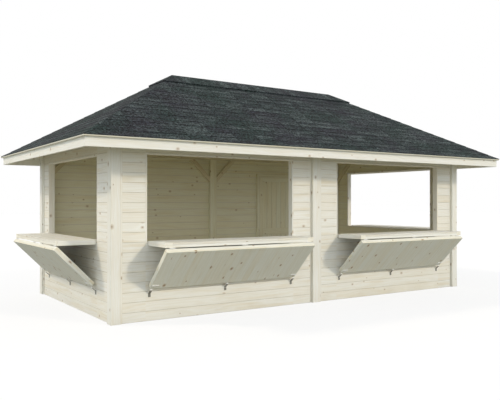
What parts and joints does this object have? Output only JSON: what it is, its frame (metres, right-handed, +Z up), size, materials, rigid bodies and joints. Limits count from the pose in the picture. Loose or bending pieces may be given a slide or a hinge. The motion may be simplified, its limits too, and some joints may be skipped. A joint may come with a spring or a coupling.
{
  "type": "wooden market stall",
  "caption": "Wooden market stall with a hipped shingle roof, boarded walls, folding serving hatches on the front and both ends, and a back door.",
  "frame": {"origin": "on the ground under the middle of the roof", "axes": "+X along the front to the right as seen from the front, +Y towards the back wall, +Z up"},
  "size_m": [6.9558, 3.9529, 3.2597],
  "materials": {
    "timber": "pale cream stained softwood, matt",
    "roofing_felt": "mineral surfaced bitumen shingles, dark grey",
    "galvanised_steel": "galvanised"
  },
  "bodies": {
    "stall": {"front_wall_left": "timber", "front_wall_right": "timber", "left_end_wall": "timber", "right_end_wall": "timber", "back_wall_left": "timber", "back_wall_beside_door_left": "timber", "back_wall_beside_door_right": "timber", "back_wall_over_door": "timber", "post_front_left": "timber", "post_front_middle": "timber", "post_front_right": "timber", "post_back_left": "timber", "post_back_middle": "timber", "post_back_right": "timber", "cover_strips": "timber", "wall_plate": "timber", "opening_linings": "timber", "knee_braces": "timber", "door_frame": "timber", "door_hinge_pins": "galvanised_steel", "sill_hinges": "galvanised_steel", "rest_brackets": "galvanised_steel", "rafters": "timber", "hip_rafters_and_ridge": "timber", "roof_boarding_front": "timber", "roof_boarding_back": "timber", "roof_boarding_left": "timber", "roof_boarding_right": "timber", "roof_shingles": "roofing_felt", "ridge_cap": "roofing_felt", "fascia_boards": "timber", "eave_trim": "timber"},
    "front_left_counter_leaf": {"front_left_counter": "timber", "front_left_counter_hinges": "galvanised_steel"},
    "front_left_sloping_leaf": {"front_left_panel": "timber", "front_left_panel_fittings": "galvanised_steel"},
    "front_right_counter_leaf": {"front_right_counter": "timber", "front_right_counter_hinges": "galvanised_steel"},
    "front_right_sloping_leaf": {"front_right_panel": "timber", "front_right_panel_fittings": "galvanised_steel"},
    "left_end_counter_leaf": {"left_end_counter": "timber", "left_end_counter_hinges": "galvanised_steel"},
    "left_end_sloping_leaf": {"left_end_panel": "timber", "left_end_panel_fittings": "galvanised_steel"},
    "right_end_counter_leaf": {"right_end_counter": "timber", "right_end_counter_hinges": "galvanised_steel"},
    "right_end_sloping_leaf": {"right_end_panel": "timber", "right_end_panel_fittings": "galvanised_steel"},
    "door": {"door_leaf": "timber", "door_hinge_straps": "galvanised_steel", "door_handles": "galvanised_steel"}
  },
  "joints": [
    {"name": "front_left_counter_hinge", "type": "hinge", "parent": "stall", "child": "front_left_counter_leaf", "pos_m": [-1.475, -1.482, 0.936], "axis": [-1, 0, 0], "range_deg": [0, 90]},
    {"name": "front_left_fold_hinge", "type": "hinge", "parent": "front_left_counter_leaf", "child": "front_left_sloping_leaf", "pos_m": [-1.475, -1.944, 0.879], "axis": [-1, 0, 0], "range_deg": [0, 135]},
    {"name": "front_right_counter_hinge", "type": "hinge", "parent": "stall", "child": "front_right_counter_leaf", "pos_m": [1.475, -1.482, 0.936], "axis": [-1, 0, 0], "range_deg": [0, 90]},
    {"name": "front_right_fold_hinge", "type": "hinge", "parent": "front_right_counter_leaf", "child": "front_right_sloping_leaf", "pos_m": [1.475, -1.944, 0.879], "axis": [-1, 0, 0], "range_deg": [0, 135]},
    {"name": "left_end_counter_hinge", "type": "hinge", "parent": "stall", "child": "left_end_counter_leaf", "pos_m": [-2.982, 0.078, 0.936], "axis": [0, 1, 0], "range_deg": [0, 90]},
    {"name": "left_end_fold_hinge", "type": "hinge", "parent": "left_end_counter_leaf", "child": "left_end_sloping_leaf", "pos_m": [-3.444, 0.078, 0.879], "axis": [0, 1, 0], "range_deg": [0, 135]},
    {"name": "right_end_counter_hinge", "type": "hinge", "parent": "stall", "child": "right_end_counter_leaf", "pos_m": [2.982, 0, 0.936], "axis": [0, -1, 0], "range_deg": [0, 90]},
    {"name": "right_end_fold_hinge", "type": "hinge", "parent": "right_end_counter_leaf", "child": "right_end_sloping_leaf", "pos_m": [3.444, 0, 0.879], "axis": [0, -1, 0], "range_deg": [0, 135]},
    {"name": "door_hinge", "type": "hinge", "parent": "stall", "child": "door", "pos_m": [1.001, 1.486, 0], "axis": [0, 0, 1], "range_deg": [0, 110]}
  ],
  "couplings": [
    {"joint": "front_left_fold_hinge", "follows": "front_left_counter_hinge", "ratio": 1.5},
    {"joint": "front_right_fold_hinge", "follows": "front_right_counter_hinge", "ratio": 1.5},
    {"joint": "left_end_fold_hinge", "follows": "left_end_counter_hinge", "ratio": 1.5},
    {"joint": "right_end_fold_hinge", "follows": "right_end_counter_hinge", "ratio": 1.5}
  ]
}
